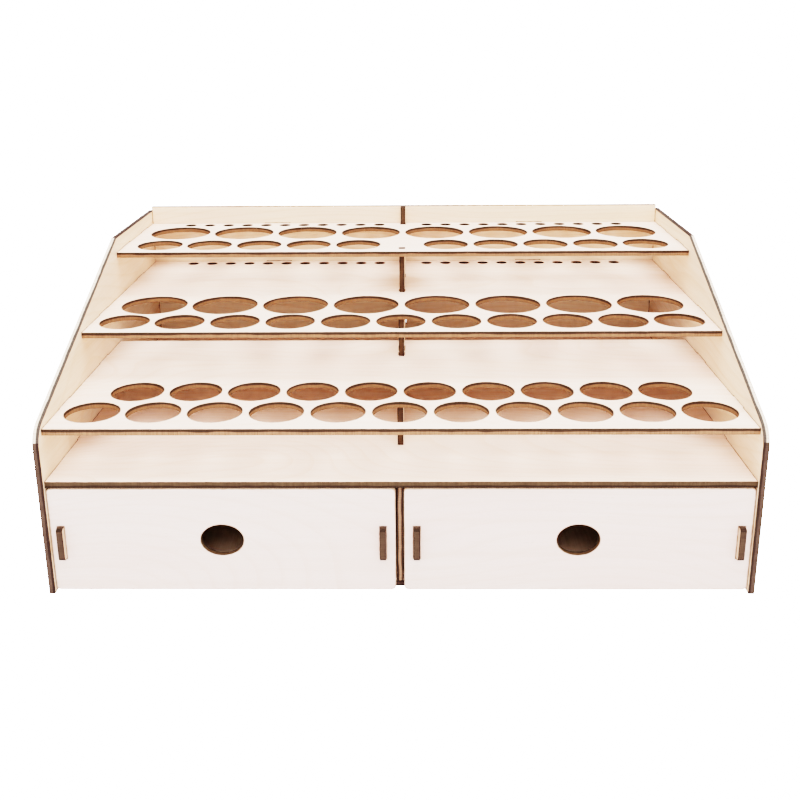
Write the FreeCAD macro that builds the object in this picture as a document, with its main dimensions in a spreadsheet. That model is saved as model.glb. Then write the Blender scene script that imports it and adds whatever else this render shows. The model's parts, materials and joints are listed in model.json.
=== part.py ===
import FreeCAD, Part
import math
import os
import Sketcher

# Paint rack organizer: a stepped rack of laser-cut plywood sheets that slot together.
# Three perforated shelves hold paint bottles in rows, small holes at the back of the upper
# two hold brushes, and two drawers slide below the lowest deck.
# Axes: +X to the right, +Y to the back, +Z up, millimetres. The origin is the centre of the
# whole footprint at table level. Every sheet is flat, so each piece is one padded outline.

SIZES = {
    # whole rack
    "overall_width": 339.0,
    "overall_height": 146.4,
    "sheet": 3.0,
    # side panels
    "side_drop": 3.0,
    "nose_radius": 12.0,
    "slope_lead": 2.0,
    "face_setback": 1.5,
    "back_inset": 2.0,
    "base_lift": 1.5,
    # heights between the levels, from the top down
    "top_drop": 11.4,
    "upper_rise": 25.8,
    "middle_rise": 25.8,
    "lower_rise": 25.1,
    # bottle and brush holes, and the wood left between neighbours in a row
    "small_hole": 26.2,
    "small_web": 3.6,
    "large_hole": 36.4,
    "large_web": 3.8,
    "row_margin": 3.0,
    "top_front_gap": 26.3,
    "brush_hole": 6.6,
    "brush_web": 5.8,
    "brush_gap": 24.4,
    "brush_margin": 20.0,
    # the wood in front of, between and behind each shelf's rows of holes
    "lower_setback": 3.5,
    "lower_front_land": 8.4,
    "lower_row_web": 1.8,
    "lower_rear_land": 5.4,
    "lower_overlap": 29.5,
    "middle_front_land": 6.4,
    "middle_row_web": 1.7,
    "middle_rear_land": 3.3,
    "top_front_land": 6.4,
    "top_row_web": 4.2,
    "top_rear_land": 3.3,
    "brush_land": 3.4,
    # tabs and slots
    "tab_length": 16.0,
    "small_tab": 8.0,
    "pin_tab": 4.0,
    "slot_clearance": 0.2,
    # divider and centre supports
    "support_land": 4.4,
    "support_pin": 4.5,
    "upper_support_setback": 5.0,
    "post_depth": 6.0,
    "support_foot": 100.0,
    "middle_foot": 15.0,
    # drawers
    "front_gap": 0.5,
    "slide_gap": 0.4,
    "behind_front": 0.3,
    "corner_radius": 2.0,
    "tab_proud": 3.0,
    "front_tab": 16.8,
    "tab_drop": 1.4,
    "tab_round": 1.5,
    "side_inset": 4.0,
    "box_shift": 0.5,
    "side_top_gap": 5.0,
    "drawer_rear_gap": 6.0,
    "floor_lift": 2.0,
    "finger_width": 20.4,
    "finger_height": 16.0,
}

doc = FreeCAD.newDocument("paint_rack_organizer")
sheet_table = doc.addObject("Spreadsheet::Sheet", "Sizes")
for row_number, (word, number) in enumerate(SIZES.items(), start=1):
    sheet_table.set(f"A{row_number}", word)
    sheet_table.set(f"B{row_number}", str(number))
    sheet_table.setAlias(f"B{row_number}", word)
doc.recompute()


class Length:
    """A length that carries its number and the spreadsheet formula that drives it."""

    def __init__(self, number, formula):
        self.number = float(number)
        self.formula = formula

    def join(self, sign, other, number):
        formula = other.formula if isinstance(other, Length) else repr(float(other))
        return Length(number, f"({self.formula} {sign} {formula})")

    def __add__(self, other):
        return self.join("+", other, self.number + float(other))

    def __sub__(self, other):
        return self.join("-", other, self.number - float(other))

    def __mul__(self, factor):
        return self.join("*", factor, self.number * float(factor))

    def __truediv__(self, divisor):
        return self.join("/", divisor, self.number / float(divisor))

    def __neg__(self):
        return Length(-self.number, f"(0 - {self.formula})")

    def __float__(self):
        return self.number


def size(word):
    return Length(SIZES[word], f"Sizes.{word}")


SHEET = size("sheet")
CLEAR = size("slot_clearance")
CENTRE = Length(0, "0")
GROUND = Length(0, "0")

# widths
HALF = size("overall_width") / 2 - SHEET
QUARTER = HALF / 2

# depths: each shelf runs on past its rows of holes to the front edge of the one above
SMALL, LARGE, BRUSH = size("small_hole"), size("large_hole"), size("brush_hole")
LOWER_RUN = size("lower_front_land") + SMALL + size("lower_row_web") + SMALL + size("lower_rear_land")
MIDDLE_RUN = size("middle_front_land") + SMALL + size("middle_row_web") + LARGE + size("middle_rear_land")
TOP_RUN = (
    size("top_front_land") + SMALL + size("top_row_web") + LARGE + size("top_rear_land")
    + BRUSH + size("brush_land")
)
DEPTH = (
    size("tab_proud") + size("lower_setback") + LOWER_RUN + MIDDLE_RUN + TOP_RUN
    + SHEET + size("back_inset")
)
FACE = size("tab_proud") - DEPTH / 2
SIDE_FRONT = FACE - size("face_setback")
LOWER_FRONT = FACE + size("lower_setback")
MIDDLE_FRONT = LOWER_FRONT + LOWER_RUN
TOP_FRONT = MIDDLE_FRONT + MIDDLE_RUN
BACK_FACE = TOP_FRONT + TOP_RUN
BACK_REAR = BACK_FACE + SHEET
SIDE_BACK = BACK_REAR + size("back_inset")
BAY_FRONT = FACE + SHEET + size("behind_front")

# the supports stand behind the middle hole of a front row, and the lower shelf ends below one
LOWER_SUPPORT_FRONT = LOWER_FRONT + size("lower_front_land") + SMALL + size("support_land")
MIDDLE_SUPPORT_FRONT = MIDDLE_FRONT + size("middle_front_land") + SMALL + size("support_land")
UPPER_SUPPORT_FRONT = TOP_FRONT + size("upper_support_setback")
LOWER_BACK = MIDDLE_SUPPORT_FRONT + size("lower_overlap")

# heights: the upper face of each level
TOP_LEVEL = size("overall_height") - size("top_drop")
MIDDLE_LEVEL = TOP_LEVEL - size("upper_rise")
LOWER_LEVEL = MIDDLE_LEVEL - size("middle_rise")
DECK_LEVEL = LOWER_LEVEL - size("lower_rise")
BASE_LEVEL = size("base_lift") + SHEET
BAY_TOP = DECK_LEVEL - SHEET

# drawers
FRONT_BOTTOM = size("base_lift")
FRONT_TOP = BAY_TOP - size("front_gap")
FRONT_MIDDLE = (FRONT_BOTTOM + FRONT_TOP) / 2
DRAWER_CENTRE = (HALF + SHEET / 2) / 2
FRONT_HALF = DRAWER_CENTRE - SHEET / 2 - size("front_gap")
BOX_HALF = FRONT_HALF - size("side_inset")
BOX_FRONT = FACE + SHEET
BOX_BACK = BACK_FACE - size("drawer_rear_gap")
BOX_BOTTOM = BASE_LEVEL + size("slide_gap")
BOX_TOP = BAY_TOP - size("side_top_gap")
FLOOR_BOTTOM = BOX_BOTTOM + size("floor_lift")
FLOOR_TOP = FLOOR_BOTTOM + SHEET

NODES = {}


def span(centre, length):
    """The two ends of a stretch of this length about its centre."""
    return (centre - length / 2, centre + length / 2)


def quarters(start, end, length):
    """Two tabs, centred a quarter of the way in from each end of an edge."""
    reach = (end - start) / 4
    return [span(start + reach, length), span(end - reach, length)]


def loosened(stretch):
    """A slot's stretch: the tab's own, plus the clearance shared by its two ends."""
    return (stretch[0] - CLEAR / 2, stretch[1] + CLEAR / 2)


def tabbed_x(y, out, stretches):
    """Points along an edge parallel to X, with tabs that stand out by this much along Y."""
    points = []
    for start, end in stretches:
        points += [(start, y), (start, y + out), (end, y + out), (end, y)]
    return points


def tabbed_y(x, out, stretches):
    """Points along an edge parallel to Y, with tabs that stand out by this much along X."""
    return [(x_, y_) for y_, x_ in tabbed_x(x, out, stretches)]


def attach(sketch, body, plane, level):
    origin = next(f for f in body.Origin.OriginFeatures if f.Role == plane)
    sketch.AttachmentSupport = (origin, "")
    sketch.MapMode = "FlatFace"
    sketch.AttachmentOffset = FreeCAD.Placement(
        FreeCAD.Vector(0, 0, float(level)), FreeCAD.Rotation()
    )
    sketch.setExpression("AttachmentOffset.Base.z", level.formula)


def drive(sketch, constraint, length):
    """Add a dimension and bind it to its formula."""
    index = sketch.addConstraint(constraint)
    sketch.setExpression(f"Constraints[{index}]", length.formula)


def place(sketch, geometry, point, position):
    """Dimension one point of a piece of geometry from the sketch's origin."""
    for kind, length in zip(("DistanceX", "DistanceY"), position):
        drive(sketch, Sketcher.Constraint(kind, -1, 1, geometry, point, float(length)), length)


def draw_polygon(sketch, points):
    corners = [FreeCAD.Vector(float(x), float(y), 0) for x, y in points]
    lines = [
        sketch.addGeometry(Part.LineSegment(a, b))
        for a, b in zip(corners, corners[1:] + corners[:1])
    ]
    for line, following in zip(lines, lines[1:] + lines[:1]):
        sketch.addConstraint(Sketcher.Constraint("Coincident", line, 2, following, 1))
    for line, position in zip(lines, points):
        place(sketch, line, 1, position)


def draw_ellipse(sketch, centre, width, height):
    x, y = centre
    middle = FreeCAD.Vector(float(x), float(y), 0)
    across = FreeCAD.Vector(float(width) / 2, 0, 0)
    upright = FreeCAD.Vector(0, float(height) / 2, 0)
    ellipse = sketch.addGeometry(Part.Ellipse(middle + across, middle + upright, middle))
    place(sketch, ellipse, 3, centre)
    sketch.exposeInternalGeometry(ellipse)
    major, minor = ellipse + 1, ellipse + 2
    sketch.addConstraint(Sketcher.Constraint("Horizontal", major))
    drive(sketch, Sketcher.Constraint("Distance", major, float(width)), width)
    drive(sketch, Sketcher.Constraint("Distance", minor, float(height)), height)


class SheetPart:
    """One flat plywood piece: an outline padded by the sheet's thickness, and what is cut in it.

    plane is the origin plane that it lies parallel to, and level is the height of its near
    face along that plane's normal: +Z for XY, +X for YZ and -Y for XZ.
    """

    def __init__(self, label, plane, level, outline):
        self.plane, self.level = plane, level
        self.body = doc.addObject("PartDesign::Body", label)
        self.body.Label = label
        sketch = self.sketch("outline", level)
        draw_polygon(sketch, outline)
        pad = self.body.newObject("PartDesign::Pad", f"{label}_sheet")
        pad.Profile = sketch
        pad.setExpression("Length", SHEET.formula)
        sketch.Visibility = False
        NODES[label] = self.body

    def sketch(self, name, level):
        sketch = self.body.newObject("Sketcher::SketchObject", f"{self.body.Label}_{name}")
        attach(sketch, self.body, self.plane, level)
        return sketch

    def cut(self, sketch, name):
        """Cut a sketch that lies on the far face right through the sheet."""
        pocket = self.body.newObject("PartDesign::Pocket", f"{self.body.Label}_{name}_cut")
        pocket.Profile = sketch
        pocket.setExpression("Length", SHEET.formula)
        return pocket

    def cut_slots(self, name, rectangles):
        """Cut rectangles, each given by its stretch along the plane's two axes."""
        sketch = self.sketch(name, self.level + SHEET)
        for (left, right), (low, high) in rectangles:
            draw_polygon(sketch, [(left, low), (right, low), (right, high), (left, high)])
        self.cut(sketch, name)

    def cut_row(self, name, y, first_x, pitch, count, diameter):
        """Cut a row of round holes that runs to the right from its first hole."""
        sketch = self.sketch(name, self.level + SHEET)
        start = FreeCAD.Vector(float(first_x), float(y), 0)
        circle = sketch.addGeometry(Part.Circle(start, FreeCAD.Vector(0, 0, 1), float(diameter) / 2))
        place(sketch, circle, 3, (first_x, y))
        drive(sketch, Sketcher.Constraint("Diameter", circle, float(diameter)), diameter)
        pocket = self.cut(sketch, name)
        row = self.body.newObject("PartDesign::LinearPattern", f"{self.body.Label}_{name}_row")
        row.Originals = [pocket]
        row.Direction = (sketch, ["H_Axis"])
        row.setExpression("Length", ((count - 1) * pitch).formula)
        row.setExpression("Occurrences", count.formula)
        self.body.Tip = row

    def cut_ellipse(self, name, centre, width, height):
        sketch = self.sketch(name, self.level + SHEET)
        draw_ellipse(sketch, centre, width, height)
        self.cut(sketch, name)

    def round_corners(self, name, radius, corners):
        """Round the edges through the sheet at these corners of its outline."""
        doc.recompute()
        tip = self.body.Tip
        chosen = []
        for index, edge in enumerate(tip.Shape.Edges, start=1):
            a, b = (self.flat(v.Point) for v in (edge.Vertexes[0], edge.Vertexes[-1]))
            upright = math.dist(a, b) < 1e-6
            if upright and any(math.dist(a, (float(x), float(y))) < 1e-4 for x, y in corners):
                chosen.append(f"Edge{index}")
        fillet = self.body.newObject("PartDesign::Fillet", f"{self.body.Label}_{name}")
        fillet.Base = (tip, chosen)
        fillet.setExpression("Radius", radius.formula)

    def flat(self, point):
        """A point's two coordinates in this piece's plane."""
        return {
            "XY_Plane": (point.x, point.y),
            "YZ_Plane": (point.y, point.z),
            "XZ_Plane": (point.x, point.z),
        }[self.plane]

    def shift(self, x):
        """Move the whole piece sideways, as each drawer's pieces are."""
        self.body.Placement.Base.x = float(x)
        self.body.setExpression("Placement.Base.x", x.formula)


def holes_in(reach, pitch, more=0):
    """How many whole pitches fit in this reach, and this many more."""
    return Length(
        math.floor(float(reach) / float(pitch)) + more,
        f"(floor({reach.formula} / {pitch.formula}) + {more})",
    )


def centred_row(part, name, y, web, diameter):
    """A full row with a hole on the rack's middle plane, and as many to each side as fit."""
    pitch = diameter + web
    beside = holes_in(HALF - size("row_margin") - diameter / 2, pitch)
    part.cut_row(name, y, -(beside * pitch), pitch, beside * 2 + 1, diameter)


def paired_row(part, name, y, web, diameter):
    """A full row with its middle web on the rack's middle plane, so that a support fits there."""
    pitch = diameter + web
    beside = holes_in(HALF - size("row_margin") + web / 2, pitch)
    part.cut_row(name, y, pitch / 2 - beside * pitch, pitch, beside * 2, diameter)


def split_row(part, name, y, gap, web, diameter, margin):
    """Two half rows with a wider gap between their inner holes, at the middle of the rack."""
    pitch = diameter + web
    first_x = (gap + diameter) / 2
    count = holes_in(HALF - margin - diameter / 2 - first_x, pitch, more=1)
    part.cut_row(f"{name}_right", y, first_x, pitch, count, diameter)
    part.cut_row(f"{name}_left", y, -first_x - (count - 1) * pitch, pitch, count, diameter)


# where each level's side and rear tabs lie, for the level itself and the panels around it
LEVELS = {
    "base_panel": (BASE_LEVEL, BAY_FRONT, BACK_FACE),
    "drawer_deck": (DECK_LEVEL, FACE, BACK_FACE),
    "lower_shelf": (LOWER_LEVEL, LOWER_FRONT, LOWER_BACK),
    "middle_shelf": (MIDDLE_LEVEL, MIDDLE_FRONT, BACK_FACE),
    "top_shelf": (TOP_LEVEL, TOP_FRONT, BACK_FACE),
}
REAR_TABS = [span(-QUARTER, size("tab_length")), span(QUARTER, size("tab_length"))]
BACK_SIDE_TABS = quarters(size("base_lift"), size("overall_height") - size("side_drop"), size("tab_length"))

# the upright pieces in the middle: each one's tabs along Y lie where the next one covers them
HALF_SHEET = (-(SHEET / 2), SHEET / 2)
DIVIDER_TABS = quarters(BAY_FRONT, BACK_FACE, size("small_tab"))
DECK_FOOT = span(BACK_FACE - size("support_foot"), size("small_tab"))
LOWER_FOOT = span(LOWER_BACK - size("middle_foot"), size("small_tab"))
MIDDLE_FOOT = span((UPPER_SUPPORT_FRONT + BACK_FACE) / 2, size("small_tab"))
LOWER_PIN = span(MIDDLE_SUPPORT_FRONT + size("support_pin"), size("pin_tab"))
UPPER_PIN = span(UPPER_SUPPORT_FRONT + size("support_pin"), size("pin_tab"))
POST = (BACK_FACE - size("post_depth"), BACK_FACE)


def rear_tab(bottom, top):
    return span((bottom + top) / 2, size("small_tab"))


def level_slot(level):
    """The slot that a level's tab needs in an upright panel, along Z."""
    return loosened((level - SHEET, level))


def make_side_panel(label, near_face):
    side_top = size("overall_height") - size("side_drop")
    nose = (SIDE_FRONT, LOWER_LEVEL)
    outline = [
        (SIDE_FRONT, GROUND),
        (SIDE_BACK, GROUND),
        (SIDE_BACK, side_top),
        (TOP_FRONT + size("slope_lead"), side_top),
        nose,
    ]
    panel = SheetPart(label, "YZ_Plane", near_face, outline)
    panel.round_corners("nose", size("nose_radius"), [nose])
    slots = [
        (loosened(stretch), level_slot(level))
        for level, front, back in LEVELS.values()
        for stretch in quarters(front, back, size("tab_length"))
    ]
    slots += [(loosened((BACK_FACE, BACK_REAR)), loosened(stretch)) for stretch in BACK_SIDE_TABS]
    panel.cut_slots("slots", slots)


def make_back_panel():
    bottom, top = size("base_lift"), size("overall_height")
    outline = [(-HALF, bottom), (HALF, bottom)]
    outline += tabbed_y(HALF, SHEET, BACK_SIDE_TABS)
    outline += [(HALF, top), (-HALF, top)]
    outline += reversed(tabbed_y(-HALF, -SHEET, BACK_SIDE_TABS))
    panel = SheetPart("back_panel", "XZ_Plane", -BACK_REAR, outline)
    slots = [
        (loosened(stretch), level_slot(level))
        for name, (level, front, back) in LEVELS.items()
        if name != "lower_shelf"
        for stretch in REAR_TABS
    ]
    uprights = [
        (BASE_LEVEL, BAY_TOP),
        (DECK_LEVEL, LOWER_LEVEL - SHEET),
        (LOWER_LEVEL, MIDDLE_LEVEL - SHEET),
        (MIDDLE_LEVEL, TOP_LEVEL - SHEET),
    ]
    slots += [(loosened(HALF_SHEET), loosened(rear_tab(low, high))) for low, high in uprights]
    panel.cut_slots("slots", slots)


def make_level(label, rear_tabs=True, rear_notch=None):
    """A horizontal sheet with tabs at its sides and rear, and perhaps a notch for the post."""
    level, front, back = LEVELS[label]
    side_tabs = quarters(front, back, size("tab_length"))
    outline = [(-HALF, front), (HALF, front)] + tabbed_y(HALF, SHEET, side_tabs) + [(HALF, back)]
    rear = tabbed_x(back, SHEET, REAR_TABS) if rear_tabs else []
    if rear_notch is not None:
        left, right = loosened(HALF_SHEET)
        start = back - rear_notch
        rear[4:4] = [(left, back), (left, start), (right, start), (right, back)]
    outline += list(reversed(rear)) + [(-HALF, back)]
    outline += reversed(tabbed_y(-HALF, -SHEET, side_tabs))
    return SheetPart(label, "XY_Plane", level - SHEET, outline)


def centre_slots(part, *stretches):
    part.cut_slots("centre_slots", [(loosened(HALF_SHEET), loosened(s)) for s in stretches])


def make_levels():
    base = make_level("base_panel")
    centre_slots(base, *DIVIDER_TABS)

    deck = make_level("drawer_deck")
    centre_slots(deck, *DIVIDER_TABS, DECK_FOOT)

    lower = make_level("lower_shelf", rear_tabs=False)
    centre_slots(lower, LOWER_PIN, LOWER_FOOT)
    front_row = LOWER_FRONT + size("lower_front_land") + SMALL / 2
    centred_row(lower, "front", front_row, size("small_web"), SMALL)
    back_row = front_row + SMALL + size("lower_row_web")
    paired_row(lower, "back", back_row, size("small_web"), SMALL)

    middle = make_level("middle_shelf")
    centre_slots(middle, UPPER_PIN, MIDDLE_FOOT)
    front_row = MIDDLE_FRONT + size("middle_front_land") + SMALL / 2
    centred_row(middle, "front", front_row, size("small_web"), SMALL)
    back_row = TOP_FRONT - size("middle_rear_land") - LARGE / 2
    paired_row(middle, "back", back_row, size("large_web"), LARGE)

    top = make_level("top_shelf", rear_notch=size("post_depth") + CLEAR / 2)
    centre_slots(top, UPPER_PIN)
    front_row = TOP_FRONT + size("top_front_land") + SMALL / 2
    split_row(
        top, "front", front_row, size("top_front_gap"), size("small_web"), SMALL, size("row_margin")
    )
    back_row = front_row + (SMALL + LARGE) / 2 + size("top_row_web")
    paired_row(top, "back", back_row, size("large_web"), LARGE)

    brush_row = BACK_FACE - size("brush_land") - BRUSH / 2
    for shelf in (middle, top):
        split_row(
            shelf, "brush", brush_row, size("brush_gap"), size("brush_web"), BRUSH, size("brush_margin")
        )


def make_upright(label, front, bottom, top, feet, crown, post=None):
    """An upright sheet on the rack's middle plane, from its front edge to the back panel.

    feet and crown are its tabs into the levels below and above, and post is a strip at its
    back that rises through the level above to this height.
    """
    outline = [(front, bottom)] + tabbed_x(bottom, -SHEET, feet) + [(BACK_FACE, bottom)]
    outline += tabbed_y(BACK_FACE, SHEET, [rear_tab(bottom, top)])
    if post is None:
        outline += [(BACK_FACE, top)]
    else:
        outline += [(BACK_FACE, post), (POST[0], post), (POST[0], top)]
    outline += list(reversed(tabbed_x(top, SHEET, crown))) + [(front, top)]
    SheetPart(label, "YZ_Plane", -(SHEET / 2), outline)


def make_uprights():
    make_upright("drawer_divider", BAY_FRONT, BASE_LEVEL, BAY_TOP, DIVIDER_TABS, DIVIDER_TABS)
    make_upright(
        "lower_support", LOWER_SUPPORT_FRONT, DECK_LEVEL, LOWER_LEVEL - SHEET, [DECK_FOOT], [LOWER_PIN]
    )
    make_upright(
        "middle_support", MIDDLE_SUPPORT_FRONT, LOWER_LEVEL, MIDDLE_LEVEL - SHEET, [LOWER_FOOT],
        [UPPER_PIN],
    )
    make_upright(
        "upper_support", UPPER_SUPPORT_FRONT, MIDDLE_LEVEL, TOP_LEVEL - SHEET, [MIDDLE_FOOT],
        [UPPER_PIN], post=size("overall_height"),
    )


def make_drawer(side, centre):
    """One drawer: its front hangs on two tabs of its sides, and its floor sits between them.

    The box and the pull lie a little further out than the front's own middle, clear of the divider.
    """
    outward = size("box_shift") if side == "right" else -size("box_shift")
    front_tab = span(FRONT_MIDDLE - size("tab_drop"), size("front_tab"))
    tab_nose = [(FACE - size("tab_proud"), z) for z in front_tab]
    floor_tabs = quarters(BOX_FRONT, BOX_BACK, size("tab_length"))
    back_rear = BOX_BACK - size("floor_lift")
    back_tab = [span((FLOOR_TOP + BOX_TOP) / 2, size("small_tab"))]
    inner = BOX_HALF - SHEET

    corners = [
        (-FRONT_HALF - outward, FRONT_BOTTOM), (FRONT_HALF - outward, FRONT_BOTTOM),
        (FRONT_HALF - outward, FRONT_TOP), (-FRONT_HALF - outward, FRONT_TOP),
    ]
    front = SheetPart(f"{side}_drawer_front", "XZ_Plane", -BOX_FRONT, corners)
    front.round_corners("corners", size("corner_radius"), corners)
    front.cut_slots(
        "tab_slots",
        [
            (loosened((-BOX_HALF, -inner)), loosened(front_tab)),
            (loosened((inner, BOX_HALF)), loosened(front_tab)),
        ],
    )
    front.cut_ellipse(
        "finger", (CENTRE, FRONT_MIDDLE), size("finger_width"), size("finger_height")
    )

    outline = [(BOX_FRONT, BOX_BOTTOM), (BOX_BACK, BOX_BOTTOM), (BOX_BACK, BOX_TOP), (BOX_FRONT, BOX_TOP)]
    outline += reversed(tabbed_y(BOX_FRONT, -(SHEET + size("tab_proud")), [front_tab]))
    wall_slots = [(loosened(tab), loosened((FLOOR_BOTTOM, FLOOR_TOP))) for tab in floor_tabs]
    wall_slots += [(loosened((back_rear - SHEET, back_rear)), loosened(back_tab[0]))]
    walls = []
    for hand, near_face in (("left", -BOX_HALF), ("right", inner)):
        wall = SheetPart(f"{side}_drawer_{hand}_wall", "YZ_Plane", near_face, outline)
        wall.round_corners("tab_nose", size("tab_round"), tab_nose)
        wall.cut_slots("slots", wall_slots)
        walls.append(wall)

    outline = [(-inner, FLOOR_TOP), (inner, FLOOR_TOP)] + tabbed_y(inner, SHEET, back_tab)
    outline += [(inner, BOX_TOP), (-inner, BOX_TOP)] + list(reversed(tabbed_y(-inner, -SHEET, back_tab)))
    back = SheetPart(f"{side}_drawer_back", "XZ_Plane", -back_rear, outline)

    outline = [(-inner, BOX_FRONT), (inner, BOX_FRONT)] + tabbed_y(inner, SHEET, floor_tabs)
    outline += [(inner, BOX_BACK), (-inner, BOX_BACK)]
    outline += reversed(tabbed_y(-inner, -SHEET, floor_tabs))
    floor = SheetPart(f"{side}_drawer_floor", "XY_Plane", FLOOR_BOTTOM, outline)

    for piece in (front, *walls, back, floor):
        piece.shift(centre + outward)


make_side_panel("left_side_panel", -HALF - SHEET)
make_side_panel("right_side_panel", HALF)
make_back_panel()
make_levels()
make_uprights()
make_drawer("left", -DRAWER_CENTRE)
make_drawer("right", DRAWER_CENTRE)
doc.recompute()

failed = [o.Name for o in doc.Objects if {"Invalid", "Error"} & set(o.State)]
if failed:
    raise RuntimeError(f"these objects did not compute: {failed}")
for label, body in NODES.items():
    if body.Shape.isNull() or not body.Shape.isValid() or len(body.Shape.Solids) != 1:
        raise RuntimeError(f"{label} is not one valid solid")

os.makedirs("parts", exist_ok=True)
for label, body in NODES.items():
    body.Shape.exportStep(f"parts/{label}.step")
    box = body.Shape.BoundBox
    print(f"{label}: {box.XLength:.1f} x {box.YLength:.1f} x {box.ZLength:.1f} mm")
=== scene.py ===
"""Paint rack organizer: a stepped desk rack of slotted plywood sheets with two drawers."""
import json
import math

import bmesh
import bpy
import numpy as np
from mathutils import Matrix, Vector

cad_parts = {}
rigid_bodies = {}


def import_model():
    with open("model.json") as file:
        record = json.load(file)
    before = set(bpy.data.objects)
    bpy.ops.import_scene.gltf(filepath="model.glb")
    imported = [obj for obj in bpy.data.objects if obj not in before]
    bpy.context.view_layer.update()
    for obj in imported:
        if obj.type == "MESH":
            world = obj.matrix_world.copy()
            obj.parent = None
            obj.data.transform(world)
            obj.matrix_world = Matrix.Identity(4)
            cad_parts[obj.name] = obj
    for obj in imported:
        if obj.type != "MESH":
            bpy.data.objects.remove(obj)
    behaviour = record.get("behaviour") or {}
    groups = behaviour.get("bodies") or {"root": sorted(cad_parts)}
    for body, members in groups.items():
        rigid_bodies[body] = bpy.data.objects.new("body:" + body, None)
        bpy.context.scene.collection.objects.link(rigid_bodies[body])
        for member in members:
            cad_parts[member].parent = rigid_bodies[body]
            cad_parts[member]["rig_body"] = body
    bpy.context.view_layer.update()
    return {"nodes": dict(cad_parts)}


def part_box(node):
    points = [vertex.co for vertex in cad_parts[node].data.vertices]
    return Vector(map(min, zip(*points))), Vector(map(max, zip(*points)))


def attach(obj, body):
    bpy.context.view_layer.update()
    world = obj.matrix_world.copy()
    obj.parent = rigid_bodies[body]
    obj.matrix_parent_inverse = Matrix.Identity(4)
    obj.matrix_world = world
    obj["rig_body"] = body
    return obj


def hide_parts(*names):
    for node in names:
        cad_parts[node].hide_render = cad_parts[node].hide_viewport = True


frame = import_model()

bpy.ops.object.select_all(action="DESELECT")

# ------------------------------------------------------------------------------------------
# Side panels
# The two profiles that carry every level, each one 3 mm basswood plywood sheet with its grain
# running front to back. A laser cuts the outline and the slots, which chars the cut walls
# through all three plies and leaves a thin line of smoke around them; tabs are glued in. The
# walls' colour also holds painted shade along the inner edge and a painted highlight on the slope.
# ------------------------------------------------------------------------------------------

MM = 0.001
ACROSS, BACKWARD = Vector((1, 0, 0)), Vector((0, 1, 0))


def add_node(tree, kind, inputs=None, **settings):
    """Add a shader node, set its properties, and fill or link its inputs."""
    node = tree.nodes.new(kind)
    for name, value in settings.items():
        setattr(node, name, value)
    for name, value in (inputs or {}).items():
        if isinstance(value, bpy.types.NodeSocket):
            tree.links.new(value, node.inputs[name])
        else:
            node.inputs[name].default_value = value
    return node


def start_group(name, inputs, outputs):
    """Begin a shader node group whose sockets are given as {name: (kind, default)}."""
    group = bpy.data.node_groups.new(name, "ShaderNodeTree")
    for label, (kind, default) in inputs.items():
        socket = group.interface.new_socket(label, in_out="INPUT", socket_type=f"NodeSocket{kind}")
        if default is not None:
            socket.default_value = default
    for label, kind in outputs.items():
        group.interface.new_socket(label, in_out="OUTPUT", socket_type=f"NodeSocket{kind}")
    return group, group.nodes.new("NodeGroupInput").outputs


def end_group(group, results):
    """Link the results to the group's outputs."""
    add_node(group, "NodeGroupOutput", results)


def stretch(tree, vector, scale):
    """Scale a place before a texture reads it."""
    inputs = {0: vector, 1: scale}
    return add_node(tree, "ShaderNodeVectorMath", inputs, operation="MULTIPLY").outputs[0]


def noise(tree, vector, scale, detail=3.0, roughness=0.55):
    """Noise at this many repeats a metre along, across and through the sheet."""
    place = stretch(tree, vector, scale)
    inputs = {"Vector": place, "Scale": 1.0, "Detail": detail, "Roughness": roughness}
    return add_node(tree, "ShaderNodeTexNoise", inputs).outputs["Fac"]


def remap(tree, value, low, high, to_low=0.0, to_high=1.0):
    """Spread a value from one range over another, with soft ends."""
    inputs = {"Value": value, "From Min": low, "From Max": high}
    inputs |= {"To Min": to_low, "To Max": to_high}
    return add_node(tree, "ShaderNodeMapRange", inputs, interpolation_type="SMOOTHSTEP").outputs[0]


def calculate(tree, operation, first, second=0.0):
    return add_node(tree, "ShaderNodeMath", {0: first, 1: second}, operation=operation).outputs[0]


def times(tree, first, second):
    return calculate(tree, "MULTIPLY", first, second)


def blend_colours(tree, amount, first, second):
    """Mix two colours. The mix's colour sockets share their names with others, so go by number."""
    inputs = {0: amount, 6: first, 7: second}
    return add_node(tree, "ShaderNodeMix", inputs, data_type="RGBA").outputs[2]


# how often each mark of the veneer repeats in a metre: along the grain, across it and through it
CLOUDS, WANDER, STREAKS = (7, 16, 16), (4, 11, 11), (5, 190, 190)
FIBRES, PORES = (60, 1900, 1900), (260, 3200, 3200)
GROWTH_LINES = 150.0     # in a metre across the grain
GROWTH_BEND = 26.0       # how many lines the slow noise bends them by
PORE_BROWN = (0.30, 0.19, 0.12, 1)


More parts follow.
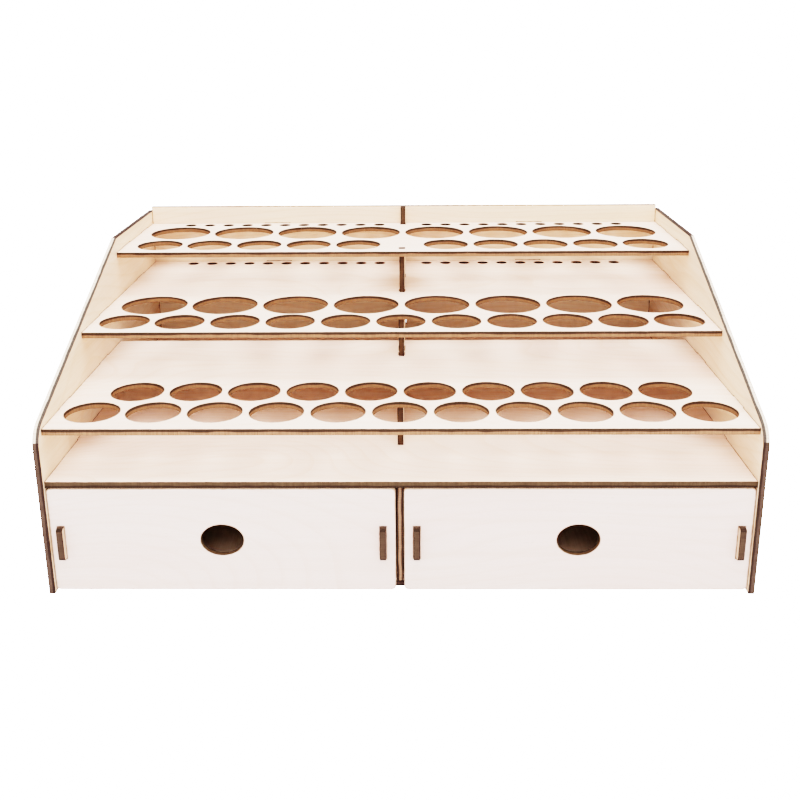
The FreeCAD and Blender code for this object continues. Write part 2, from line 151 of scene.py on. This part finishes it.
def make_veneer_group():
    """Basswood face veneer: pale cloudy patches, long faint streaks, growth lines and fibres."""
    group, given = start_group(
        "basswood veneer",
        {
            "Place": ("Vector", None),
            "Pale": ("Color", (0.8, 0.7, 0.6, 1)),
            "Streak": ("Color", (0.7, 0.55, 0.4, 1)),
            "Blush": ("Color", (0.8, 0.6, 0.5, 1)),
            "Figure": ("Float", 1.0),
        },
        {"Colour": "Color", "Roughness": "Float", "Height": "Float"},
    )
    place = given["Place"]
    cloud = remap(group, noise(group, place, CLOUDS, 2.0), 0.42, 0.68)
    streaks = remap(group, noise(group, place, STREAKS, 5.0, 0.62), 0.40, 0.74)
    fibres = noise(group, place, FIBRES, 3.0, 0.6)
    pores = remap(group, noise(group, place, PORES, 2.0), 0.66, 0.78)
    # growth lines wander: the distance across the grain is bent by slow noise, then banded
    wander = noise(group, place, WANDER, 1.0)
    across = add_node(group, "ShaderNodeSeparateXYZ", {0: place}).outputs["Y"]
    straight, bend = times(group, across, GROWTH_LINES), times(group, wander, GROWTH_BEND)
    saw = calculate(group, "FRACT", calculate(group, "ADD", straight, bend))
    growth = times(group, remap(group, saw, 0.62, 0.97), remap(group, saw, 1.0, 0.975))
    figure, streak = given["Figure"], given["Streak"]
    fibre_tone = remap(group, fibres, 0.3, 0.7, 0.0, 0.30)
    colour = blend_colours(group, times(group, cloud, 0.8), given["Pale"], given["Blush"])
    colour = blend_colours(group, times(group, streaks, times(group, figure, 0.5)), colour, streak)
    colour = blend_colours(group, times(group, growth, times(group, figure, 0.38)), colour, streak)
    colour = blend_colours(group, times(group, fibre_tone, figure), colour, streak)
    colour = blend_colours(group, times(group, pores, 0.35), colour, PORE_BROWN)
    height = calculate(group, "SUBTRACT", fibres, times(group, pores, 0.8))
    height = calculate(group, "SUBTRACT", height, times(group, growth, 0.25))
    roughness = remap(group, fibres, 0.2, 0.8, 0.52, 0.68)
    end_group(group, {"Colour": colour, "Roughness": roughness, "Height": height})
    return group


SMOKE_DRIFT, SMOKE_GRAIN = (45, 45, 45), (420, 420, 420)     # repeats a metre
SMOKE_BROWN, CHAR_BLACK = (0.30, 0.13, 0.05, 1), (0.04, 0.018, 0.009, 1)


def make_smoke_group():
    """Smoke and char that the laser leaves on a face: darkest at the cut, gone in a millimetre."""
    group, given = start_group(
        "laser smoke",
        {
            "Colour": ("Color", (0.8, 0.7, 0.6, 1)),
            "Place": ("Vector", None),
            "Nearness": ("Float", 0.0),
            "Strength": ("Float", 1.0),
        },
        {"Colour": "Color"},
    )
    uneven = remap(group, noise(group, given["Place"], SMOKE_GRAIN, 3.0), 0.25, 0.75, 0.6, 1.1)
    drift = remap(group, noise(group, given["Place"], SMOKE_DRIFT, 2.0), 0.3, 0.7, 0.6, 1.15)
    near = times(group, given["Nearness"], times(group, uneven, given["Strength"]))
    haze = times(group, remap(group, near, 0.02, 0.7, 0.0, 0.8), drift)
    toasted = blend_colours(group, haze, given["Colour"], SMOKE_BROWN)
    char = remap(group, near, 0.45, 0.9, 0.0, 0.95)
    end_group(group, {"Colour": blend_colours(group, char, toasted, CHAR_BLACK)})
    return group


# repeats a metre: the beam leaves fine upright flutes, which hardly change through the sheet
BURN_DRIFT, FLUTES, SOOT_PATCHES = (60, 60, 60), (1900, 1900, 60), (150, 150, 150)
CHAR_EDGE = 0.07         # half the soft edge of the char, as a part of the sheet's thickness
ONE_PLY = 0.333          # the glue lines lie this far apart, as such a part
GLUE_LINE = 0.035        # half of a glue line's own thickness
SOOT_BLACK = (0.03, 0.014, 0.009, 1)


def make_cut_wall_group():
    """The burnt wall of a laser cut, darker towards the face where the beam was hottest."""
    group, given = start_group(
        "burnt plies",
        {
            "Place": ("Vector", None),
            "Ply": ("Float", 0.5),
            "Toast": ("Color", (0.5, 0.3, 0.15, 1)),
            "Char": ("Color", (0.05, 0.02, 0.01, 1)),
            "Char below": ("Float", 0.2),
            "Char above": ("Float", 0.8),
            "Soot": ("Float", 0.4),
        },
        {"Colour": "Color", "Roughness": "Float", "Height": "Float"},
    )
    place = given["Place"]
    drift = remap(group, noise(group, place, BURN_DRIFT, 2.0), 0.25, 0.75, -0.09, 0.09)
    flutes = noise(group, place, FLUTES, 2.0)
    ply = calculate(group, "ADD", given["Ply"], drift)
    over_low = calculate(group, "SUBTRACT", ply, given["Char below"])
    over_high = calculate(group, "SUBTRACT", ply, given["Char above"])
    below = remap(group, over_low, CHAR_EDGE, -CHAR_EDGE)
    above = remap(group, over_high, -CHAR_EDGE, CHAR_EDGE)
    charred = calculate(group, "MAXIMUM", below, above)
    from_glue = calculate(group, "PINGPONG", ply, ONE_PLY)
    glue = times(group, remap(group, from_glue, GLUE_LINE, 0.0), 0.45)
    fluted = remap(group, flutes, 0.3, 0.75, 0.0, 0.35)
    streaked = blend_colours(group, fluted, given["Toast"], given["Char"])
    colour = blend_colours(group, glue, streaked, given["Char"])
    colour = blend_colours(group, times(group, charred, 0.93), colour, given["Char"])
    patches = remap(group, noise(group, place, SOOT_PATCHES, 4.0), 0.42, 0.66)
    colour = blend_colours(group, times(group, patches, given["Soot"]), colour, SOOT_BLACK)
    height = calculate(group, "SUBTRACT", flutes, times(group, glue, 0.8))
    roughness = remap(group, flutes, 0.2, 0.8, 0.62, 0.85)
    end_group(group, {"Colour": colour, "Roughness": roughness, "Height": height})
    return group


VENEER, SMOKE, CUT_WALL = make_veneer_group(), make_smoke_group(), make_cut_wall_group()


def attribute(tree, name, output):
    return add_node(tree, "ShaderNodeAttribute", attribute_name=name).outputs[output]


def place_group(tree, group, inputs):
    return add_node(tree, "ShaderNodeGroup", inputs, node_tree=group).outputs


def start_material(name):
    material = bpy.data.materials.new(name)
    material.use_nodes = True
    tree = material.node_tree
    return material, tree, tree.nodes["Principled BSDF"]


def raise_bump(tree, shader, height, depth, strength):
    inputs = {"Height": height, "Distance": depth, "Strength": strength}
    bump = add_node(tree, "ShaderNodeBump", inputs)
    tree.links.new(bump.outputs["Normal"], shader.inputs["Normal"])


def make_face_material(name, pale, streak, blush, figure=1.0, smoke=1.0):
    """A sanded veneer face, with smoke where its cut rim is near."""
    material, tree, shader = start_material(name)
    place = attribute(tree, "lay", "Vector")
    veneer = place_group(
        tree, VENEER,
        {"Place": place, "Pale": pale, "Streak": streak, "Blush": blush, "Figure": figure},
    )
    rim = place_group(
        tree, SMOKE,
        {
            "Colour": veneer["Colour"],
            "Place": place,
            "Nearness": attribute(tree, "rim", "Fac"),
            "Strength": smoke,
        },
    )
    tree.links.new(rim["Colour"], shader.inputs["Base Color"])
    tree.links.new(veneer["Roughness"], shader.inputs["Roughness"])
    shader.inputs["Specular IOR Level"].default_value = 0.2
    raise_bump(tree, shader, veneer["Height"], depth=0.05 * MM, strength=0.6)
    return material


def make_cut_material(name, toast, char, below, above, soot):
    """The wall of the cuts, charred below and above these heights in the sheet's thickness."""
    material, tree, shader = start_material(name)
    wall = place_group(
        tree, CUT_WALL,
        {
            "Place": attribute(tree, "lay", "Vector"),
            "Ply": attribute(tree, "ply", "Fac"),
            "Toast": toast,
            "Char": char,
            "Char below": below,
            "Char above": above,
            "Soot": soot,
        },
    )
    tree.links.new(wall["Colour"], shader.inputs["Base Color"])
    tree.links.new(wall["Roughness"], shader.inputs["Roughness"])
    shader.inputs["Specular IOR Level"].default_value = 0.12
    raise_bump(tree, shader, wall["Height"], depth=0.08 * MM, strength=0.7)
    return material


def select_only(piece):
    bpy.ops.object.select_all(action="DESELECT")
    bpy.context.view_layer.objects.active = piece
    piece.select_set(True)


ARRIS = 0.10 * MM        # how far the char softens each cut corner
# the rings of smoke round a cut: each one's width, and the rim value at its inner edge. With the
# arris they stay under half of the narrowest strip of wood, or they would overlap
RIM_RINGS = ((0.20 * MM, 0.75), (0.36 * MM, 0.0))
WELD = 0.001 * MM        # corners nearer to each other than this are one
FLAT = math.radians(0.5)         # faces that meet flatter than this are one face
CUT_CORNER = math.radians(40)    # edges that turn more than this are cut corners
SMOOTH = math.radians(35)        # edges that turn less than this are shaded smooth
SQUARE_ON = 0.9999       # a face's normal lies this much along the sheet's thickness
BOARD_STEP = np.array([0.37, 0.61, 0.0])     # from one board to the next in the veneer's pattern
boards_cut = 0


def select_faces(mesh, wanted):
    bm = bmesh.from_edit_mesh(mesh)
    for face in bm.faces:
        face.select_set(wanted(face))
    bm.select_flush_mode()
    bmesh.update_edit_mesh(mesh)


def mark_rim(mesh, value):
    """Give the selected faces' corners this rim value."""
    bm = bmesh.from_edit_mesh(mesh)
    rim = bm.verts.layers.float["rim"]
    for vertex in {v for face in bm.faces if face.select for v in face.verts}:
        vertex[rim] = value
    bmesh.update_edit_mesh(mesh)


def finish_sheet(node, face, wall, grain, other_walls=()):
    """Make the finished piece that stands for a sheet: softened arrises and a smoked rim.

    grain is the direction that the face veneer's fibres run in. other_walls holds pairs of a
    material and a test on a wall face's middle and normal, for walls that are burnt differently.
    """
    global boards_cut
    low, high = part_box(node)
    thin = min(range(3), key=lambda axis: high[axis] - low[axis])
    piece = bpy.data.objects.new(f"{node}_sheet", frame["nodes"][node].data.copy())
    bpy.context.scene.collection.objects.link(piece)
    mesh = piece.data
    mesh.materials.clear()
    for material in (wall, face, *(special for special, _ in other_walls)):
        mesh.materials.append(material)
    select_only(piece)

    bpy.ops.object.mode_set(mode="EDIT")
    bpy.ops.mesh.select_mode(type="EDGE")
    bpy.ops.mesh.select_all(action="SELECT")
    bpy.ops.mesh.customdata_custom_splitnormals_clear()
    bpy.ops.mesh.remove_doubles(threshold=WELD)
    bpy.ops.mesh.dissolve_limited(angle_limit=FLAT)
    bpy.ops.mesh.select_all(action="DESELECT")
    bpy.ops.mesh.edges_select_sharp(sharpness=CUT_CORNER)
    bpy.ops.mesh.bevel(offset=ARRIS, segments=2, affect="EDGES", clamp_overlap=True)
    bpy.ops.mesh.select_mode(type="FACE")
    select_faces(mesh, lambda polygon: abs(polygon.normal[thin]) > SQUARE_ON)
    bm = bmesh.from_edit_mesh(mesh)
    rim = bm.verts.layers.float.new("rim")
    for vertex in bm.verts:
        vertex[rim] = 1.0
    for polygon in bm.faces:
        polygon.material_index = int(polygon.select)
        for number, (_, belongs) in enumerate(other_walls, 2):
            if not polygon.select and belongs(polygon.calc_center_median(), polygon.normal):
                polygon.material_index = number
    bmesh.update_edit_mesh(mesh)
    for width, value in RIM_RINGS:
        bpy.ops.mesh.inset(thickness=width, use_boundary=True, use_even_offset=True)
        mark_rim(mesh, value)
    bpy.ops.object.mode_set(mode="OBJECT")
    bpy.ops.object.shade_smooth_by_angle(angle=SMOOTH)

    # the sheet's own place: along the grain, across it and through it, with each board apart
    places = np.array([vertex.co for vertex in mesh.vertices])
    through = np.zeros(3)
    through[thin] = 1
    along = np.array(grain)
    axes = np.array([along, np.cross(through, along), through])
    lay = places @ axes.T + BOARD_STEP * boards_cut
    ply = (places[:, thin] - low[thin]) / (high[thin] - low[thin])
    mesh.attributes.new("lay", "FLOAT_VECTOR", "POINT").data.foreach_set("vector", lay.ravel())
    mesh.attributes.new("ply", "FLOAT", "POINT").data.foreach_set("value", ply)
    boards_cut += 1

    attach(piece, frame["nodes"][node]["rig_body"])
    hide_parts(node)


# This veneer of the upright panels, divider and supports is toned warmer and darker than the
# shelves' partly as painted shade of faces that the lamps above light less.
PANEL_FACE = make_face_material(
    "side and back veneer", (0.88, 0.66, 0.48, 1), (0.74, 0.48, 0.30, 1), (0.87, 0.61, 0.46, 1)
)
UMBER, SEPIA = (0.020, 0.008, 0.006, 1), (0.022, 0.010, 0.005, 1)
# each profile's wall is darkest along its inner edge: laser char with painted shade of the gap
# beside it. Its slope is painted paler than its upright front, a painted highlight where it faces
# up
NO_CHAR_BELOW, NO_CHAR_ABOVE = -1.0, 2.0     # heights beyond the sheet's faces
PROFILE_TOAST, SLOPE_PAINTED_HIGHLIGHT = (0.085, 0.049, 0.035, 1), (0.86, 0.72, 0.58, 1)
PROFILE_CHAR_AND_SHADE = {"left": (NO_CHAR_BELOW, 0.62), "right": (0.38, NO_CHAR_ABOVE)}
SLOPE_CHAR = {"left": (NO_CHAR_BELOW, 0.55), "right": (0.45, NO_CHAR_ABOVE)}
FACING = 0.2             # a wall faces a side when its normal has more than this of it


# the upward slope of the front edge, whose wall carries the painted highlight
def on_slope_with_painted_light(middle, normal):
    return normal.y < -FACING and normal.z > FACING


for hand in ("left", "right"):
    upright = make_cut_material(
        f"{hand} profile's wall", PROFILE_TOAST, UMBER, *PROFILE_CHAR_AND_SHADE[hand], 0.35
    )
    # the slope's pale toast is a painted highlight
    slope = make_cut_material(
        f"{hand} profile's slope", SLOPE_PAINTED_HIGHLIGHT, UMBER, *SLOPE_CHAR[hand], 0.0
    )
    finish_sheet(
        f"{hand}_side_panel", PANEL_FACE, upright, BACKWARD, [(slope, on_slope_with_painted_light)]
    )

# ------------------------------------------------------------------------------------------
# Back panel
# One wide sheet with its grain across the rack. Its side tabs pass through the side panels,
# and it stands a little higher than they do.
# ------------------------------------------------------------------------------------------

BACK_WALL = make_cut_material("back panel's wall", (0.42, 0.24, 0.13, 1), SEPIA, 0.22, 0.80, 0.3)
finish_sheet("back_panel", PANEL_FACE, BACK_WALL, ACROSS)

# ------------------------------------------------------------------------------------------
# Base panel and drawer deck
# The floor and the roof of the drawer bays, whole sheets with their grain across the rack,
# slotted into the side and back panels. The deck's front edge is also the first tier's lip.
# ------------------------------------------------------------------------------------------

# The shelves' veneer is the palest partly as painted light: their tops face the lamps above.
DECK_FACE = make_face_material(
    "shelf veneer", (0.93, 0.73, 0.61, 1), (0.81, 0.55, 0.40, 1), (0.91, 0.66, 0.56, 1)
)
DECK_WALL = make_cut_material(
    "deck's wall", (0.085, 0.048, 0.025, 1), SEPIA, 0.42, NO_CHAR_ABOVE, 0.3
)
BASE_WALL = make_cut_material("base's wall", (0.045, 0.022, 0.017, 1), UMBER, 0.25, 0.75, 0.5)
finish_sheet("base_panel", DECK_FACE, BASE_WALL, ACROSS)
finish_sheet("drawer_deck", DECK_FACE, DECK_WALL, ACROSS)

# ------------------------------------------------------------------------------------------
# Shelves
# Three perforated levels. Their bottle holes and the two rows of brush holes are cut in one
# pass with the outline. The beam enters from above, so each wall is charred in its upper half
# and toasted below, and the narrow brush holes are burnt right through. The brush holes'
# walls are painted near black, which holds their char and painted shade inside the slots.
# ------------------------------------------------------------------------------------------

SHELF_WALL = make_cut_material(
    "shelf's lip", (0.33, 0.165, 0.088, 1), SEPIA, NO_CHAR_BELOW, 0.54, 0.1
)
HOLE_WALL = make_cut_material(
    "bottle hole's wall", (0.25, 0.115, 0.055, 1), SEPIA, NO_CHAR_BELOW, 0.60, 0.15
)
# char and painted shade of the narrow slots in one near-black colour
BRUSH_HOLE_CHAR_AND_SHADE = make_cut_material(
    "brush hole's wall, charred and painted shade", (0.04, 0.02, 0.012, 1), SEPIA, NO_CHAR_BELOW, 0.5, 0.6
)
FRONT_MARGIN = 2.5 * MM      # every hole lies further than this behind its shelf's front edge
END_MARGIN = 5.0 * MM        # and further than this inside its other three edges
LEVEL_WALL = 0.9             # no wall's normal points this much up or down
BRUSH_ROW_FRONT = 103.5 * MM     # the brush rows lie behind this line and the bottles before it


def hole_tests(node):
    """Tests that tell the walls of a shelf's brush and bottle holes from those of its outline."""
    low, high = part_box(node)

    def in_hole(middle, normal):
        between_ends = low[0] + END_MARGIN < middle.x < high[0] - END_MARGIN
        between_edges = low[1] + FRONT_MARGIN < middle.y < high[1] - END_MARGIN
        return between_ends and between_edges and abs(normal.z) < LEVEL_WALL

    def in_bottle_hole(middle, normal):
        return in_hole(middle, normal) and middle.y < BRUSH_ROW_FRONT

    def in_brush_hole(middle, normal):
        return in_hole(middle, normal) and middle.y > BRUSH_ROW_FRONT

    return [(HOLE_WALL, in_bottle_hole), (BRUSH_HOLE_CHAR_AND_SHADE, in_brush_hole)]


for node in ("lower_shelf", "middle_shelf", "top_shelf"):
    finish_sheet(node, DECK_FACE, SHELF_WALL, ACROSS, hole_tests(node))

# ------------------------------------------------------------------------------------------
# Divider and centre supports
# Upright ribs on the middle plane that stop the wide levels from sagging. They are narrow
# sheets with their grain front to back, held by small tabs in the levels and the back panel.
# ------------------------------------------------------------------------------------------

DIVIDER_WALL = make_cut_material("divider's wall", (0.44, 0.24, 0.15, 1), UMBER, 0.30, 0.72, 0.0)
finish_sheet("drawer_divider", PANEL_FACE, DIVIDER_WALL, BACKWARD)
SUPPORT_WALL = make_cut_material("support's wall", (0.075, 0.036, 0.018, 1), SEPIA, 0.2, 0.8, 0.5)
for node in ("lower_support", "middle_support", "upper_support"):
    finish_sheet(node, PANEL_FACE, SUPPORT_WALL, BACKWARD)

# ------------------------------------------------------------------------------------------
# Drawers
# Two open boxes of the same sheet. The front hangs on one tab of each side wall, which shows
# as a burnt upright bar, and its oval hole is the pull.
# ------------------------------------------------------------------------------------------

# The drawer fronts' veneer is toned darker than the shelves' partly as painted shade of their
# upright faces.
DRAWER_FACE = make_face_material(
    "drawer veneer", (0.77, 0.61, 0.56, 1), (0.68, 0.49, 0.41, 1), (0.76, 0.57, 0.53, 1),
    figure=0.8, smoke=0.7,
)
# the boxes' veneer is painted darker than the fronts': painted shade inside the drawers, seen
# through the pulls
BOX_FACE_PAINTED_SHADE = make_face_material(
    "drawer box veneer, painted shade", (0.62, 0.42, 0.30, 1), (0.53, 0.33, 0.21, 1), (0.60, 0.39, 0.28, 1)
)
FRONT_WALL = make_cut_material(
    "drawer front's wall", (0.60, 0.42, 0.29, 1), SEPIA, NO_CHAR_BELOW, NO_CHAR_ABOVE, 0.15
)
PULL_WALL = make_cut_material("pull's wall", (0.10, 0.05, 0.025, 1), SEPIA, 0.15, 0.85, 0.4)
DRAWER_WALL = make_cut_material(
    "drawer box's wall", (0.066, 0.036, 0.022, 1), UMBER, 0.10, 0.90, 0.3
)
TAB_CORNER = make_cut_material("tab's corner", (0.012, 0.007, 0.006, 1), SEPIA, 0.5, 0.5, 0.6)
SLOT_MARGIN = 1.25 * MM      # the pull and the slots lie further than this inside the front
GRAIN_OF_DRAWER = {
    "front": ACROSS,
    "left_wall": BACKWARD,
    "right_wall": BACKWARD,
    "back": ACROSS,
    "floor": BACKWARD,
}


def on_tab_corner(middle, normal):
    return normal.y < -FACING and abs(normal.z) > FACING


def in_front_hole(node):
    """A test for the walls of a front's pull and tab slots, which lie well inside its outline."""
    low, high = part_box(node)
    return lambda middle, normal: all(
        low[axis] + SLOT_MARGIN < middle[axis] < high[axis] - SLOT_MARGIN for axis in (0, 2)
    )


for side in ("left", "right"):
    for part, grain in GRAIN_OF_DRAWER.items():
        node = f"{side}_drawer_{part}"
        face, wall, others = BOX_FACE_PAINTED_SHADE, DRAWER_WALL, []
        if part == "front":
            face, wall, others = DRAWER_FACE, FRONT_WALL, [(PULL_WALL, in_front_hole(node))]
        elif part.endswith("wall"):
            others = [(TAB_CORNER, on_tab_corner)]
        finish_sheet(node, face, wall, grain, others)

# ------------------------------------------------------------------------------------------
# Table
# A plain white table top that the rack stands on, wide enough to fill the view. To the camera
# it is as bright as the room behind it, so that the rack stands alone on white.
# ------------------------------------------------------------------------------------------

TABLE_SPAN = 24.0
WHITE_LEVEL = 16.0       # how bright the empty table and room look to the camera: pure white

bpy.ops.object.select_all(action="DESELECT")
bpy.ops.mesh.primitive_circle_add(vertices=96, radius=TABLE_SPAN / 2, fill_type="NGON")
table = bpy.context.object
table.name = "table_top"
material, tree, shader = start_material("white table")
shader.inputs["Base Color"].default_value = (0.9, 0.9, 0.9, 1)
shader.inputs["Roughness"].default_value = 0.9
shader.inputs["Specular IOR Level"].default_value = 0.1
glow = add_node(tree, "ShaderNodeEmission", {"Color": (1, 1, 1, 1), "Strength": WHITE_LEVEL})
bright = add_node(tree, "ShaderNodeAddShader", {0: shader.outputs[0], 1: glow.outputs[0]})
looked_at = add_node(tree, "ShaderNodeLightPath").outputs["Is Camera Ray"]
mix = {0: looked_at, 1: shader.outputs[0], 2: bright.outputs[0]}
top = add_node(tree, "ShaderNodeMixShader", mix)
tree.links.new(top.outputs[0], tree.nodes["Material Output"].inputs["Surface"])
table.data.materials.append(material)

# ------------------------------------------------------------------------------------------
# Light
# A white room lights the rack evenly from all round. A wide lamp overhead and one high in
# front give the shelves their shade, and two small weak ones low at the sides shape the tabs
# and the drawer pulls.
# ------------------------------------------------------------------------------------------

RACK_MIDDLE = Vector((0, 0, 0.07))
WHITE, WARM, ROSY = (1, 1, 1), (1, 0.97, 0.95), (1, 0.96, 0.97)
ROOM_LEVEL = 1.65        # how bright the white room is to the rack


def add_lamp(name, place, span, power, colour):
    """A round soft lamp that is turned to the rack."""
    lamp = bpy.data.lights.new(name, "AREA")
    lamp.shape = "DISK"
    lamp.size = span
    lamp.energy = power
    lamp.color = colour
    holder = bpy.data.objects.new(name, lamp)
    bpy.context.scene.collection.objects.link(holder)
    holder.location = place
    holder.rotation_euler = (RACK_MIDDLE - Vector(place)).to_track_quat("-Z", "Y").to_euler()


add_lamp("high lamp", (0.0, -1.2, 1.3), span=1.0, power=15, colour=WHITE)
add_lamp("ceiling lamp", (0.1, -0.2, 1.7), span=1.8, power=45, colour=WARM)
add_lamp("left lamp", (-1.35, -0.87, 0.11), span=0.16, power=5, colour=ROSY)
add_lamp("right lamp", (1.35, -0.87, 0.11), span=0.16, power=3.5, colour=ROSY)

world = bpy.data.worlds.new("white room")
bpy.context.scene.world = world
world.use_nodes = True
room = world.node_tree
room_light = room.nodes["Background"]
room_light.inputs["Color"].default_value = (1, 1, 1, 1)
room_light.inputs["Strength"].default_value = ROOM_LEVEL
backdrop = add_node(
    room, "ShaderNodeBackground", {"Color": (1, 1, 1, 1), "Strength": WHITE_LEVEL}
)
seen = add_node(room, "ShaderNodeLightPath").outputs["Is Camera Ray"]
mix = {0: seen, 1: room_light.outputs[0], 2: backdrop.outputs[0]}
choice = add_node(room, "ShaderNodeMixShader", mix)
room.links.new(choice.outputs[0], room.nodes["World Output"].inputs["Surface"])

# ------------------------------------------------------------------------------------------
# Camera
# It stands in front of the rack, a little above it, and looks down on the shelves.
# ------------------------------------------------------------------------------------------

camera_data = bpy.data.cameras.new("view from the front")
camera = bpy.data.objects.new("view from the front", camera_data)
bpy.context.scene.collection.objects.link(camera)
camera_data.lens = 45.66
camera_data.sensor_width = 36.0
camera_data.shift_y = -0.1
camera_data.clip_start = 0.01
camera.location = (0.0068, -0.5481, 0.2662)
LOOK_DOWN, TURN, ROLL = 0.291, 0.014, -0.007
tilt = Matrix.Rotation(math.pi / 2 - LOOK_DOWN, 3, "X")
camera.rotation_euler = (
    Matrix.Rotation(TURN, 3, "Z") @ tilt @ Matrix.Rotation(ROLL, 3, "Z")
).to_euler()
bpy.context.scene.camera = camera
bpy.context.scene.view_settings.view_transform = "Filmic"
bpy.context.scene.view_settings.look = "High Contrast"
